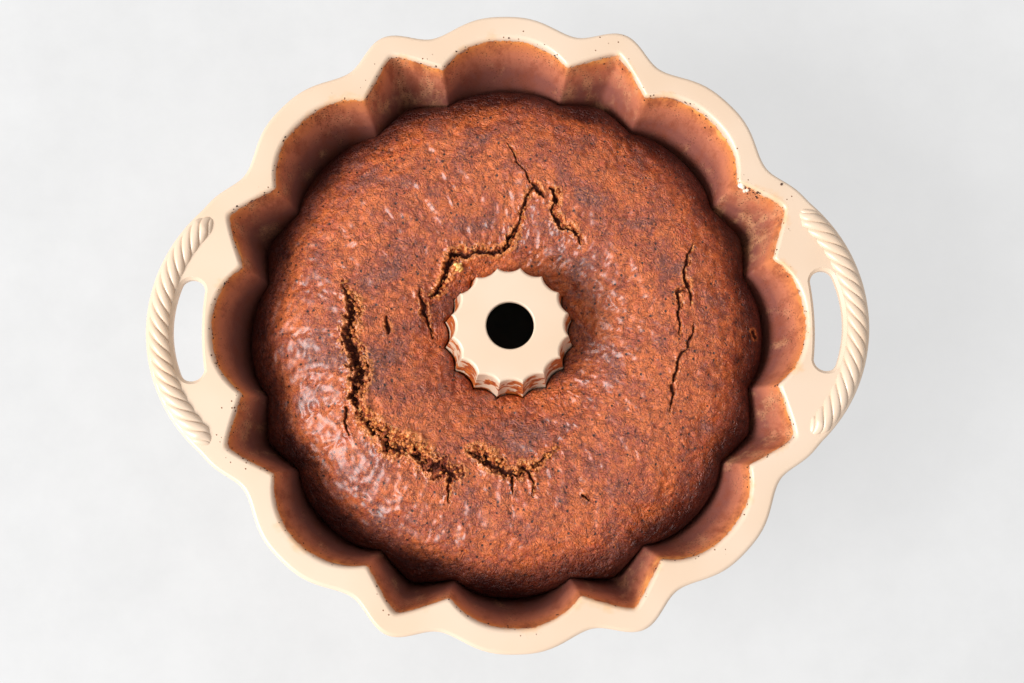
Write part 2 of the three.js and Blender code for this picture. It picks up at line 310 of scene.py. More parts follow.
def castingRings():
    s, top = panShape, mould["height"]
    columns = makeColumns(s["wideColumns"], s["pointedColumns"])
    rimTurns, capTurns = columnTurns(columns, 0), columnTurns(columns, 4)
    capUnder, rimUnder = top - s["wall"], top - s["rimThickness"]
    quarter = np.linspace(0, math.pi / 2, 6)
    rings = [ringPoints(capTurns, s["holeRadius"], capUnder)]
    for a in quarter:
        inset = s["holeRound"] * (1 - math.cos(a))
        rings.append(ringPoints(capTurns, s["holeRadius"] + inset, top - s["holeRound"] * (1 - math.sin(a))))
    capEdge = tubeRadius(capTurns, 0) - s["tubeRound"]
    rings.append(ringPoints(capTurns, mix(s["holeRadius"] + s["holeRound"], capEdge, 0.5), top))
    for a in quarter:          # over the cap's edge
        inset = s["tubeRound"] * (1 - math.sin(a))
        ring = mouldRing(columns, tubeRow(s["tubeRound"] * (1 - math.cos(a))), inward=inset)
        rings.append(ring)
    for depth in [*np.linspace(3, 34, 16), *np.linspace(38, tubeDepth, 6)]:
        rings.append(mouldRing(columns, tubeRow(depth)))
    for share in np.linspace(0, 1, 15)[1:]:
        rings.append(mouldRing(columns, arcRow(1 - share)))
    for depth in [*np.linspace(wallDepth, 44, 6)[1:], *np.linspace(40, 3.2, 18)]:
        rings.append(mouldRing(columns, wallRow(depth)))
    for a in quarter:          # over the rim's inner lip
        outset = s["lipRound"] * (1 - math.cos(a))
        rings.append(mouldRing(columns, wallRow(s["lipRound"] * (1 - math.sin(a))), inward=-outset))
    lipEnd = wallRadius(rimTurns, 0) + s["lipRound"]
    edge = rimReach(rimTurns)
    for share in (0.33, 0.67):
        rings.append(ringPoints(rimTurns, mix(lipEnd, edge - s["topRound"], share), top))
    for a in quarter:          # the rim's outer edge, top then under
        r = edge - s["topRound"] * (1 - math.sin(a))
        rings.append(ringPoints(rimTurns, r, top - s["topRound"] * (1 - math.cos(a))))
    for a in quarter:
        r = edge - s["underRound"] * (1 - math.cos(a))
        rings.append(ringPoints(rimTurns, r, rimUnder + s["underRound"] * (1 - math.sin(a))))
    for a in quarter:          # fillet between the rim's underside and the wall
        outset = s["wall"] + s["filletUnder"] * (1 - math.sin(a))
        drop = s["rimThickness"] + s["filletUnder"] * (1 - math.cos(a))
        rings.append(mouldRing(columns, wallRow(drop), inward=-outset))
    for depth in np.linspace(10, wallDepth, 16):
        rings.append(mouldRing(columns, wallRow(depth), offset=s["wall"]))
    for share in np.linspace(0, 1, 19)[1:]:
        rings.append(mouldRing(columns, arcRow(share), offset=s["wall"]))
    for depth in np.linspace(tubeDepth, 8, 12)[1:]:
        rings.append(mouldRing(columns, tubeRow(depth), offset=s["wall"]))
    rings.append(ringPoints(capTurns, tubeRadius(capTurns, s["wall"]) - s["wall"], capUnder))
    for ring in rings:         # the pads under the wide lobes are flat
        ring[:, 2] = np.maximum(ring[:, 2], 0)
    return rings


rope = {
    "width": 9.7, "inset": 1.0, "rise": 2.6, "sunk": 1.2, "root": 2.0,
    "halfTurn": 49.0, "strands": 5, "lead": 29.5,      # lead is the length of one full twist
    "groove": 0.76,            # radius in a groove, as a share of the radius at a strand's back
    "acrossStrand": 10, "steps": 170, "endLength": 6.0,
}


def ropePiece(half):           # half 0 is the rope on +X, half 1 the one on -X
    along = panShape["handleReach"] - panShape["handleCentre"] - rope["inset"] - rope["width"] / 2
    halfArc = math.radians(rope["halfTurn"])
    length = 2 * halfArc * along
    count = rope["strands"] * rope["acrossStrand"]
    place = np.arange(count) / rope["acrossStrand"]
    bulge = np.sqrt(1 - 0.985 * (2 * (place % 1) - 1) ** 2)    # each strand's round back
    rings = []
    for share in np.linspace(0, 1, rope["steps"] + 1):
        turn = mix(-halfArc, halfArc, share)
        fromEnd = min(share, 1 - share) * length
        taper = math.sqrt(min(1, 0.07 + fromEnd / rope["endLength"]))
        around = 2 * math.pi * (place / rope["strands"] + length * share / rope["lead"])
        size = taper * mix(rope["groove"], 1, bulge)
        r = along + size * rope["width"] / 2 * np.cos(around)
        halfHeight = np.where(np.sin(around) > 0, rope["rise"] + rope["sunk"], rope["root"])
        z = mould["height"] - rope["sunk"] + size * halfHeight * np.sin(around)
        flip = 1 - 2 * half
        x = flip * (panShape["handleCentre"] + r * math.cos(turn))
        rings.append(np.stack([x, flip * r * math.sin(turn), z], axis=1))
    return cappedPiece("rope", rings)


slot = {                       # the finger slot's outline on +X: two long sides and two round ends
    "inner": (129.6, 17.0, 132.0), "outer": (139.8, 18.5, 146.6),      # x and y at the ends, x of the bulge
    "nearEnd": (130.2, 22.5), "farEnd": (138.0, 23.6),
    "topRound": 1.3, "underRound": 1.0, "sideSteps": 26, "endSteps": 18,
}


def slotCutter(half):
    innerX, innerY, innerBulge = slot["inner"]
    outerX, outerY, outerBulge = slot["outer"]
    (nearX, nearY), (farX, farY) = slot["nearEnd"], slot["farEnd"]

    def bezier(points, steps):
        points = [np.array(p) for p in points]
        for t in np.linspace(0, 1, steps, endpoint=False):
            level = points
            while len(level) > 1:
                level = [mix(a, b, t) for a, b in zip(level, level[1:])]
            yield level[0]

    inner, innerFlipped = (innerX, innerY), (innerX, -innerY)
    outer, outerFlipped = (outerX, outerY), (outerX, -outerY)
    outline = [
        *bezier([innerFlipped, (innerBulge, 0), inner], slot["sideSteps"]),
        *bezier([inner, (nearX, nearY), (farX, farY), outer], slot["endSteps"]),
        *bezier([outer, (outerBulge, 0), outerFlipped], slot["sideSteps"]),
        *bezier([outerFlipped, (farX, -farY), (nearX, -nearY), innerFlipped], slot["endSteps"]),
    ]
    outline = np.array(outline)
    along = np.roll(outline, -1, axis=0) - np.roll(outline, 1, axis=0)
    outward = np.stack([-along[:, 1], along[:, 0]], axis=1)
    outward /= np.linalg.norm(outward, axis=1, keepdims=True)
    top, under = mould["height"], mould["height"] - panShape["rimThickness"]
    levels = [(under - 4, slot["underRound"])]
    quarter = np.linspace(0, math.pi / 2, 6)
    for a in quarter:
        levels.append((under + slot["underRound"] * math.sin(a), slot["underRound"] * (1 - math.sin(a))))
    for a in quarter:
        levels.append((top - slot["topRound"] * math.cos(a), slot["topRound"] * (1 - math.cos(a))))
    levels.append((top + 4, slot["topRound"]))
    flip = 1 - 2 * half
    rings = []
    for z, outset in levels:
        edge = outline + outward * outset
        rings.append(np.stack([flip * edge[:, 0], flip * edge[:, 1], np.full(len(edge), z)], axis=1))
    return cappedPiece("cutter", rings)


def markFilm(piece):           # millimetres below the rim on the inner wall, and below the cap on the tube
    x, y, z = meshPoints(piece).T
    turns, r = np.degrees(np.arctan2(y, x)), np.hypot(x, y)
    depth = mould["height"] - z
    nowhere = -50.0
    wall = wallRadius(turns, np.clip(depth, 0, wallDepth))
    film = depth - np.maximum(r - wall, 0)
    outside = (depth > 3.5) & (r > wall + 1.6)
    film = np.where(outside | (depth > wallDepth) | (r < 60) | (depth < -0.1), nowhere, film)
    writeValues(piece, "wallFilm", film)
    folded = np.abs(turns - sector * np.round(turns / sector))
    lit = smoothStep(-90, 90, 0.8 * x + 0.6 * y)       # painted light: the pale thin film is weighted to the right and the back, the walls that face the light
    writeValues(piece, "pointedLobe", smoothStep(12.8, 14.0, folded) * mix(0.45, 1, lit))
    tube = tubeRadius(turns, np.clip(depth, 0, tubeDepth))
    film = depth - np.maximum(tube - r, 0)
    within = (depth > 1.5) & (r < tube - 1.6)
    writeValues(piece, "tubeFilm", np.where(within | (depth > 60) | (r > 60), nowhere, film))


def buildPan():
    rings = castingRings()
    piece = makePiece("panCasting", np.concatenate(rings), loopFaces(len(rings), len(rings[0]), closed=True))
    faceOutwards(piece)
    for half in (0, 1):
        addBoolean(piece, "UNION", ropePiece(half))
        addBoolean(piece, "DIFFERENCE", slotCutter(half))
    markFilm(piece)
    shadeSmooth(piece, 38)
    weighted = piece.modifiers.new("weightedNormals", "WEIGHTED_NORMAL")
    weighted.keep_sharp = True
    return piece


coatingLook = {
    "cream": "#D7BFA8", "creamWarm": "#D2B69B", "speck": "#7B4A2B", "wash": "#DBA46A",
    "roughness": 0.36, "filmRoughness": 0.52, "reliefDepth": 0.3,
    "grains": {                # size in mm, detail, roughness
        "tone": (45, 2.0, 0.5), "patchy": (24, 2.0, 0.5), "wide": (16, 3.0, 0.6), "stain": (11, 3.0, 0.6),
        "blotch": (9, 4.0, 0.65), "streak": (7, 5.0, 0.7), "close": (2.2, 4.0, 0.65), "fine": (0.8, 2.0, 0.5),
    },
    "spatterCell": 2.1, "gritCell": 1.3,
    "filmFrom": 1.9,           # mm below the rim where the baked-on film starts, before it wanders
    "filmDown": ["#F09A4C", "#D4804E", "#BE7254", "#8A5044"],      # from the lip to 30 mm down
    "filmThin": "#D0946C", "filmDark": "#8A4630", "filmBright": "#F0A860", "crumb": "#3A1D12",
    "tubeStain": "#8A3410", "tubeStainPale": "#C8702C",
}


def coatingMaterial():
    # Sprayed non-stick enamel on cast aluminium: satin and even, with a soft sheen. Batter that splashed
    # on the walls has baked to a thin brown film, which hides the sheen and is speckled where it is thin.
    look, start = coatingLook, coatingLook["filmFrom"]
    material, tree = newMaterial("creamNonstickEnamel")
    place = addNode(tree, "TexCoord", take="Object")
    streaked = addNode(tree, "Mapping", {"Vector": place, "Scale": (1, 1, 0.35)})
    shifted = addNode(tree, "Mapping", {"Vector": streaked, "Location": (0.3, 0.1, 0.2)})
    wallFilm = addNode(tree, "Attribute", take="Fac", attribute_name="wallFilm")
    tubeFilm = addNode(tree, "Attribute", take="Fac", attribute_name="tubeFilm")
    pointed = addNode(tree, "Attribute", take="Fac", attribute_name="pointedLobe")
    vectors = {"blotch": streaked, "streak": shifted}
    grain = {}
    for name, (size, detail, roughness) in look["grains"].items():
        grain[name] = addNode(tree, "TexNoise", {
            "Vector": vectors.get(name, place), "Scale": perMetre(size), "Detail": detail,
            "Roughness": roughness,
        })
    wide, close, fine, blotch, streak = [grain[n] for n in ("wide", "close", "fine", "blotch", "streak")]
    creams = [(0.35, look["cream"]), (0.7, look["creamWarm"])]
    clean = addNode(tree, "ValToRGB", {0: grain["tone"]}, stops=creams)

    # brown spatter on the flange, thicker close to the inner edge
    cellInputs = {"Vector": place, "Scale": perMetre(look["spatterCell"])}
    cell = addNode(tree, "TexVoronoi", cellInputs)
    cellColour = addNode(tree, "TexVoronoi", cellInputs, take="Color")
    cellPick = addNode(tree, "SeparateColor", {0: cellColour})
    ragged = addNode(tree, "Math", {0: fine, 1: 0.12, 2: cell}, operation="MULTIPLY_ADD")
    dot = addNode(tree, "MapRange", {"Value": ragged, "From Min": 0.26, "From Max": 0.16},
                  interpolation_type="SMOOTHSTEP")
    nearLip = addNode(tree, "MapRange", {"Value": wallFilm, "From Min": -9.0, "From Max": 0.5})
    likely = addNode(tree, "Math", {0: grain["patchy"], 1: 4.4, 2: nearLip}, operation="MULTIPLY_ADD")
    picked = addNode(tree, "Math", {0: likely, 1: 0.5, 2: cellPick}, operation="MULTIPLY_ADD")
    enough = addNode(tree, "MapRange", {"Value": picked, "From Min": 2.3, "From Max": 2.42})
    onFlange = addNode(tree, "MapRange", {"Value": wallFilm, "From Min": -30.0, "From Max": -20.0})
    spatter = addNode(tree, "Math", {0: dot, 1: enough}, operation="MULTIPLY")
    spatter = addNode(tree, "Math", {0: spatter, 1: onFlange}, operation="MULTIPLY")
    wash = addNode(tree, "Math", {0: nearLip, 1: 0.4, 2: wide}, operation="MULTIPLY_ADD")
    wash = addNode(tree, "Math", {0: close, 1: 0.25, 2: wash}, operation="MULTIPLY_ADD")
    wash = addNode(tree, "MapRange", {"Value": wash, "From Min": 0.98, "From Max": 1.2, "To Max": 0.6})
    wash = addNode(tree, "Math", {0: wash, 1: onFlange}, operation="MULTIPLY")

    # the film on the walls: its edge wanders, and it darkens downwards
    wander = addNode(tree, "Math", {0: close, 1: 5.0, 2: wallFilm}, operation="MULTIPLY_ADD")
    wander = addNode(tree, "Math", {0: wide, 1: 6.0, 2: wander}, operation="MULTIPLY_ADD")
    onWall = addNode(tree, "MapRange", {"Value": wander, "From Min": start + 5.0, "From Max": start + 6.4},
                     interpolation_type="SMOOTHSTEP")
    down = addNode(tree, "Math", {0: wide, 1: 14.0, 2: wallFilm}, operation="MULTIPLY_ADD")
    down = addNode(tree, "MapRange", {"Value": down, "From Min": 6.0, "From Max": 36.0})
    film = addNode(tree, "ValToRGB", {0: down}, stops=list(zip((0.06, 0.22, 0.5, 0.95), look["filmDown"])))
    # the pale thin film on the pointed lobes, stronger on the walls that face the light: a real film with
    # painted light on it
    thinFilmLitSide = addNode(tree, "Math", {0: pointed, 1: 0.12, 2: blotch}, operation="MULTIPLY_ADD")
    thinFilmLitSide = addNode(tree, "MapRange", {"Value": thinFilmLitSide, "From Min": 0.56, "From Max": 0.82, "To Max": 0.85},
                   interpolation_type="SMOOTHSTEP")
    dark = addNode(tree, "MapRange", {"Value": streak, "From Min": 0.48, "From Max": 0.66, "To Max": 0.7})
    bright = addNode(tree, "Math", {0: wallFilm, 1: 0.012, 2: wide}, operation="MULTIPLY_ADD")
    bright = addNode(tree, "MapRange", {"Value": bright, "From Min": 0.46, "From Max": 0.36, "To Max": 0.8})
    grit = addNode(tree, "TexVoronoi", {"Vector": place, "Scale": perMetre(look["gritCell"])})
    grit = addNode(tree, "Math", {0: fine, 1: 0.15, 2: grit}, operation="MULTIPLY_ADD")
    freckle = addNode(tree, "MapRange", {"Value": grit, "From Min": 0.40, "From Max": 0.28, "To Max": 0.8})
    many = addNode(tree, "Math", {0: thinFilmLitSide, 1: 0.22, 2: blotch}, operation="MULTIPLY_ADD")
    many = addNode(tree, "MapRange", {"Value": many, "From Min": 0.48, "From Max": 0.62})
    freckle = addNode(tree, "Math", {0: freckle, 1: many}, operation="MULTIPLY")
    burnt = addNode(tree, "MapRange", {"Value": wander, "From Min": start + 9.0, "From Max": start + 5.6,
                                       "To Max": 1.1})
    burnt = addNode(tree, "Math", {0: burnt, 1: streak}, operation="MULTIPLY")
    burnt = addNode(tree, "MapRange", {"Value": burnt, "From Min": 0.42, "From Max": 0.6, "To Max": 0.9})
    for amount, tone in (
        (thinFilmLitSide, "filmThin"), (dark, "filmDark"), (bright, "filmBright"), (freckle, "crumb"),
        (burnt, "filmDark"),
    ):
        film = addNode(tree, "Mix", {0: amount, 6: film, 7: look[tone]}, take=2, data_type="RGBA")

    # a few patches on the tube's flutes
    level = addNode(tree, "Math", {0: tubeFilm, 1: 6.0}, operation="MINIMUM")
    patch = addNode(tree, "Math", {0: grain["stain"], 1: 30.0, 2: level}, operation="MULTIPLY_ADD")
    patch = addNode(tree, "Math", {0: close, 1: 2.5, 2: patch}, operation="MULTIPLY_ADD")
    onTube = addNode(tree, "MapRange", {"Value": patch, "From Min": 21.4, "From Max": 22.4})
    belowCap = addNode(tree, "MapRange", {"Value": tubeFilm, "From Min": 0.2, "From Max": 1.0})
    onTube = addNode(tree, "Math", {0: onTube, 1: belowCap}, operation="MULTIPLY")
    stainStops = [(0.42, look["tubeStain"]), (0.62, look["tubeStainPale"])]
    stain = addNode(tree, "ValToRGB", {0: close}, stops=stainStops)

    colour = clean
    for amount, over in ((wash, look["wash"]), (spatter, look["speck"]), (onWall, film), (onTube, stain)):
        colour = addNode(tree, "Mix", {0: amount, 6: colour, 7: over}, take=2, data_type="RGBA")
    soiled = addNode(tree, "Math", {0: onWall, 1: onTube}, operation="MAXIMUM")
    roughness = addNode(tree, "MapRange", {"Value": soiled, "To Min": look["roughness"],
                                           "To Max": look["filmRoughness"]})
    relief = addNode(tree, "Math", {0: close, 1: soiled}, operation="MULTIPLY")
    relief = addNode(tree, "Math", {0: spatter, 1: 0.8, 2: relief}, operation="MULTIPLY_ADD")
    bump = addNode(tree, "Bump", {"Height": relief, "Distance": look["reliefDepth"] * mm, "Strength": 0.7})
    surface = addNode(tree, "BsdfPrincipled", {
        "Base Color": colour, "Roughness": roughness, "Normal": bump, "IOR": 1.48,
        "Coat Weight": 0.12, "Coat Roughness": 0.22,
    })
    addNode(tree, "OutputMaterial", {"Surface": surface})
    return material


print("pan casting")
panPiece = buildPan()
panPiece.data.materials.clear()
panPiece.data.materials.append(coatingMaterial())
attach(panPiece, "root")
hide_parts("fluted_pan")

cakeShape = {
    "wideColumns": 40, "pointedColumns": 36, "rows": 112,
    "gap": 0.4,                # to the pan, where it can't be seen
    "shrink": 1.3,             # to the pan at the top, where the crust has pulled away
    "fluteShare": 0.72,        # how much of the pan's flutes the crust's edge still follows
    "crestRadius": 70.0, "crestDepth": 14.0,
    "outerDrop": 17.0, "outerDropRadius": 111.5, "outerPower": 2.3,
    "innerDrop": 12.0, "innerDropRadius": 27.5, "innerPower": 2.0,
    "swells": [(2, 0.9, 0.8), (3, 0.6, -1.9), (5, 0.4, 0.0)],      # waves round the ring, rise, phase
    "edgeRound": 6.5, "innerRound": 2.4,
    "lumpRise": 0.75, "dimpleRise": 0.55, "wrinkleRise": 0.55, "grainRise": 0.26,
}


def cakeTopDepth(r, turns):    # below the rim plane
    s, angle = cakeShape, np.radians(turns)
    outward = (r - s["crestRadius"]) / (s["outerDropRadius"] - s["crestRadius"])
    inward = (s["crestRadius"] - r) / (s["crestRadius"] - s["innerDropRadius"])
    outer = s["outerDrop"] * np.abs(outward) ** s["outerPower"]
    inner = s["innerDrop"] * np.clip(inward, 0, 1.2) ** s["innerPower"]
    swell = sum(rise * np.cos(waves * angle - phase) for waves, rise, phase in s["swells"])
    swell *= np.clip(1 - np.abs(outward), 0, 1)
    return s["crestDepth"] + np.where(outward > 0, outer, inner) - swell


def crustEdge(turns, depth, share):            # radius of the cake's outside, share 0 at the crust's edge
    flutes = mix(cakeShape["fluteShare"], 1, share)
    gap = mix(cakeShape["shrink"], cakeShape["gap"], share)
    return wallRow(depth)[0] + flutes * fluteOut(turns, depth / wallDepth) - gap


# Tears in the crust, in millimetres seen from above. Each stop is (x, y, half width, depth).
tears = {
    "westFissure": [(-72.5, 22, .25, .8), (-71, 17.5, .8, 2), (-68, 12.5, 1.9, 4), (-68.6, 7, 2.3, 5),
                    (-69.3, 2, 2.3, 4.5), (-69.8, -2.5, 2.6, 4.5), (-68, -8, 2.2, 6),
                    (-65.8, -13.5, 3.0, 6.5), (-65.3, -18.5, 3.1, 6.5), (-66.6, -24, 2.4, 6),
                    (-67.3, -30, 2.1, 6), (-66.5, -33.5, 1.2, 4)],
    "westSplit": [(-71, -33, .6, 2), (-71, -40, .7, 2.5), (-70, -45, .3, 1)],
    "southWest": [(-65, -34, 1.2, 3), (-59.5, -42, 1.9, 4.5), (-54, -46, 2.3, 5), (-52, -51, 2.4, 5),
                  (-46, -50, 2.2, 4), (-43, -51, 2.3, 5.5), (-39, -56, 2.0, 4.5)],
    "southPatch": [(-37, -58, 3.0, 3), (-31, -60, 4.6, 3.6), (-26, -62, 3.4, 3.4), (-22, -61, 1.4, 2.5)],
    "southBranch": [(-27, -64, 1.0, 3), (-27.5, -68, .8, 2.6), (-28, -73, .3, 1)],
    "southPits": [(-18, -53, 1.0, 2), (-13.5, -55, 2.6, 4.5), (-8, -58, 2.6, 4.5), (-3, -61.5, 1.6, 4),
                  (1, -63, 1.9, 4.5), (5, -61, 1.6, 3.5), (9, -60, 1.5, 4), (14, -56, .6, 2),
                  (20, -52, .3, .8)],
    "southThread": [(8, -62, .7, 3), (8.4, -66, .6, 2.6), (8.2, -72, .3, 1)],
    "southSlip": [(0, -64, .8, 3), (.4, -67, .6, 2.4), (.3, -71, .2, .8)],
    "stem": [(.5, 84.5, .25, .8), (3.5, 78.5, .45, 1.6), (7, 72, .4, 1.5), (10.5, 66, .5, 2),
             (12.5, 64, 1.1, 3.2), (15, 61, 1.2, 3.6), (16.5, 59.5, .4, 1.5)],
    "westBranch": [(12, 63.5, .7, 2.5), (9.7, 60, .9, 3), (7, 53, .6, 2), (4.5, 47, .8, 2.5),
                   (1.5, 42.5, 1.7, 4.5), (-2.5, 37.5, 1.3, 3.4), (-8, 36, .9, 2.6), (-13, 36, 1.1, 2.8),
                   (-18, 34.3, 1.1, 2.6), (-23, 35, 2.1, 5), (-26.5, 30, 1.6, 4.5), (-29, 24, 1.1, 3.5),
                   (-31.5, 18.5, 1.3, 3.5), (-35, 16.5, .3, 1)],
    "westFoot": [(-39, 19, .3, 1), (-38, 13, 1.0, 3), (-37, 8.5, 1.0, 3.5), (-35, 3.5, .6, 2),
                 (-33.5, -2, .3, 1)],
    "eastBranch": [(18.5, 63, .5, 2), (21, 61.5, 1.3, 3.6), (21.5, 58, 1.3, 4), (20.2, 54, .7, 2),
                   (21, 50, 1.2, 3.6), (24, 46.5, .9, 2.6), (28.5, 45, 1.1, 3), (31, 42, .8, 2.2),
                   (32, 38, .3, 1)],
    "eastUpper": [(82, 37, .2, .6), (79.5, 31.5, .7, 2.2), (77.7, 26, .7, 2.2), (78.8, 19, 1.0, 2.8),
                  (79.4, 14, .5, 1.6), (79.4, 10, .2, .6)],
    "eastMiddle": [(77, 16.5, .3, 1), (74.3, 14.8, .9, 2.6), (73.9, 8, .6, 2), (74.5, 2, .6, 2),
                   (75, -4, .2, .6)],
    "eastLower": [(80, 1, .2, .6), (79, -5, .5, 1.6), (76.5, -10, .5, 1.6), (73, -16, .7, 2),
                  (71, -24, .7, 2.2), (70.5, -31, .5, 1.6), (69, -37, .25, .8)],
    "shortSplit": [(-53.6, 6.5, .4, 1), (-53, 3, .9, 2.6), (-52.5, -.5, .6, 1.6)],
    "eastPit": [(30, -72, .7, 2), (32, -74, .6, 1.6)],
    "edgePore": [(109.5, -1, .9, 1.8), (110.3, -3.5, .8, 1.6)],
}
# Where a tear shows crumb: how far the crumb spreads beside it, and how moist and dark it is (0 to 1).
crumbBeside = {
    "westFissure": (1.5, .35), "southWest": (3.2, 0), "southPatch": (1.2, .8), "southPits": (1.9, .15),
    "southBranch": (.5, .3), "westBranch": (1.0, .15), "eastBranch": (.8, .3), "westFoot": (.6, .4),
    "southThread": (.7, .2), "eastUpper": (.5, .3), "eastMiddle": (.5, .3), "stem": (.4, .3),
}


def followPath(stops, step=0.4):       # a smooth line through the stops
    stops = np.array(stops, float)
    ends = np.vstack([2 * stops[0] - stops[1], stops, 2 * stops[-1] - stops[-2]])
    line = []
    for a, b, c, d in zip(ends, ends[1:], ends[2:], ends[3:]):
        count = max(2, int(np.hypot(*(c - b)[:2]) / step))
        for t in np.linspace(0, 1, count, endpoint=False):
            line.append(0.5 * (2 * b + (c - a) * t + (2 * a - 5 * b + 4 * c - d) * t ** 2
                               + (3 * b - a - 3 * c + d) * t ** 3))
    line.append(stops[-1])
    return np.array(line)


def tearSamples():
    samples = []
    for i, (name, stops) in enumerate(tears.items()):
        line = followPath(stops)
        flat = np.column_stack([line[:, :2], np.full(len(line), 5.0 * i)])
        line[:, 0] += 1.1 * grainField(flat, 5, 3)
        line[:, 1] += 1.1 * grainField(flat, 5, 4)
        samples.append(np.hstack([line, np.tile(crumbBeside.get(name, (0.25, 0.5)), (len(line), 1))]))
    return np.vstack(samples)


def flatTree(points):          # for the nearest of some points, as seen from above
    tree = kdtree.KDTree(len(points))
    for i, (x, y) in enumerate(points[:, :2]):
        tree.insert((x, y, 0), i)
    tree.balance()
    return tree


def nearestTear(points, samples, reach):       # distance to the nearest tear, and that tear's own values
    tree = flatTree(samples)
    found = [tree.find((x, y, 0)) for x, y in points[:, :2]]
    index = np.array([f[1] for f in found])
    distance = np.minimum([f[2] for f in found], reach)
    return distance, samples[index]


def cakeGrid():
    s = cakeShape
    columns = makeColumns(s["wideColumns"], s["pointedColumns"])
    outerTurns, innerTurns = columnTurns(columns, 0.45), columnTurns(columns, 3.6)
    outerDepth = np.full(len(columns), 31.0)
    innerDepth = np.full(len(columns), 26.0)
    for _ in range(8):         # where the top meets the wall and the tube
        outerR = crustEdge(outerTurns, outerDepth, 0)
        innerR = tubeRadius(innerTurns, innerDepth) + 0.5 * s["shrink"]
        outerDepth = cakeTopDepth(outerR, outerTurns)
        innerDepth = cakeTopDepth(innerR, innerTurns)
    rings, marks = [], []      # marks: 1 on the top, distance to the outer and to the inner edge
    t = np.linspace(0, 1, s["rows"])
    for share in t - 0.05 * np.sin(2 * np.pi * t):
        turns = mix(innerTurns, outerTurns, share)
        r = mix(innerR, outerR, share)
        rings.append(ringPoints(turns, r, mould["height"] - cakeTopDepth(r, turns)))
        marks.append(np.stack([np.ones(len(r)), outerR - r, r - innerR], axis=1))
    side = np.stack([np.zeros(len(columns)), np.zeros(len(columns)), np.full(len(columns), 50.0)], axis=1)
    deepest = outerDepth + s["edgeRound"] + 1.5
    for share in np.linspace(0, 1, 7):
        depth = mix(deepest, np.full(len(columns), wallDepth - 4), share)
        turns = columnTurns(columns, mix(0.45, 0.95, share))
        rings.append(ringPoints(turns, crustEdge(turns, depth, share), mould["height"] - depth))
        marks.append(side)
    for share in np.linspace(0.03, 0.97, 11):
        rings.append(mouldRing(columns, arcRow(share), offset=-s["gap"]))
        marks.append(side)
    deepest = innerDepth + s["innerRound"] + 1.0
    for share in np.linspace(0, 1, 6):
        gap = mix(s["gap"], 0.5 * s["shrink"], share)
        depth = mix(np.full(len(columns), tubeDepth - 3), deepest, share)
        turns = columnTurns(columns, mix(3.05, 3.6, share))
        rings.append(ringPoints(turns, tubeRadius(turns, depth) + gap, mould["height"] - depth))
        marks.append(side)
    return rings, marks


def subdivideNear(piece, samples, reach, share):       # finer mesh where the crust is torn
    work = bmesh.new()
    work.from_mesh(piece.data)
    work.verts.ensure_lookup_table()
    layer = work.verts.layers.float["onTop"]
    tree = flatTree(samples)
    near = set()
    for vert in work.verts:
        if vert[layer] > 0.5:
            x, y, _ = vert.co / mm
            _, i, distance = tree.find((x, y, 0))
            if distance < samples[i, 2] * 1.4 + samples[i, 4] * share + reach:
                near.add(vert)
    edges = [e for e in work.edges if e.verts[0] in near and e.verts[1] in near]
    bmesh.ops.subdivide_edges(work, edges=edges, cuts=1, use_grid_fill=True)
    bmesh.ops.triangulate(work, faces=[f for f in work.faces if len(f.verts) > 4])
    work.to_mesh(piece.data)
    work.free()


def readValues(piece, name):
    values = np.empty(len(piece.data.vertices), np.float32)
    piece.data.attributes[name].data.foreach_get("value", values)
    return values.astype(float)


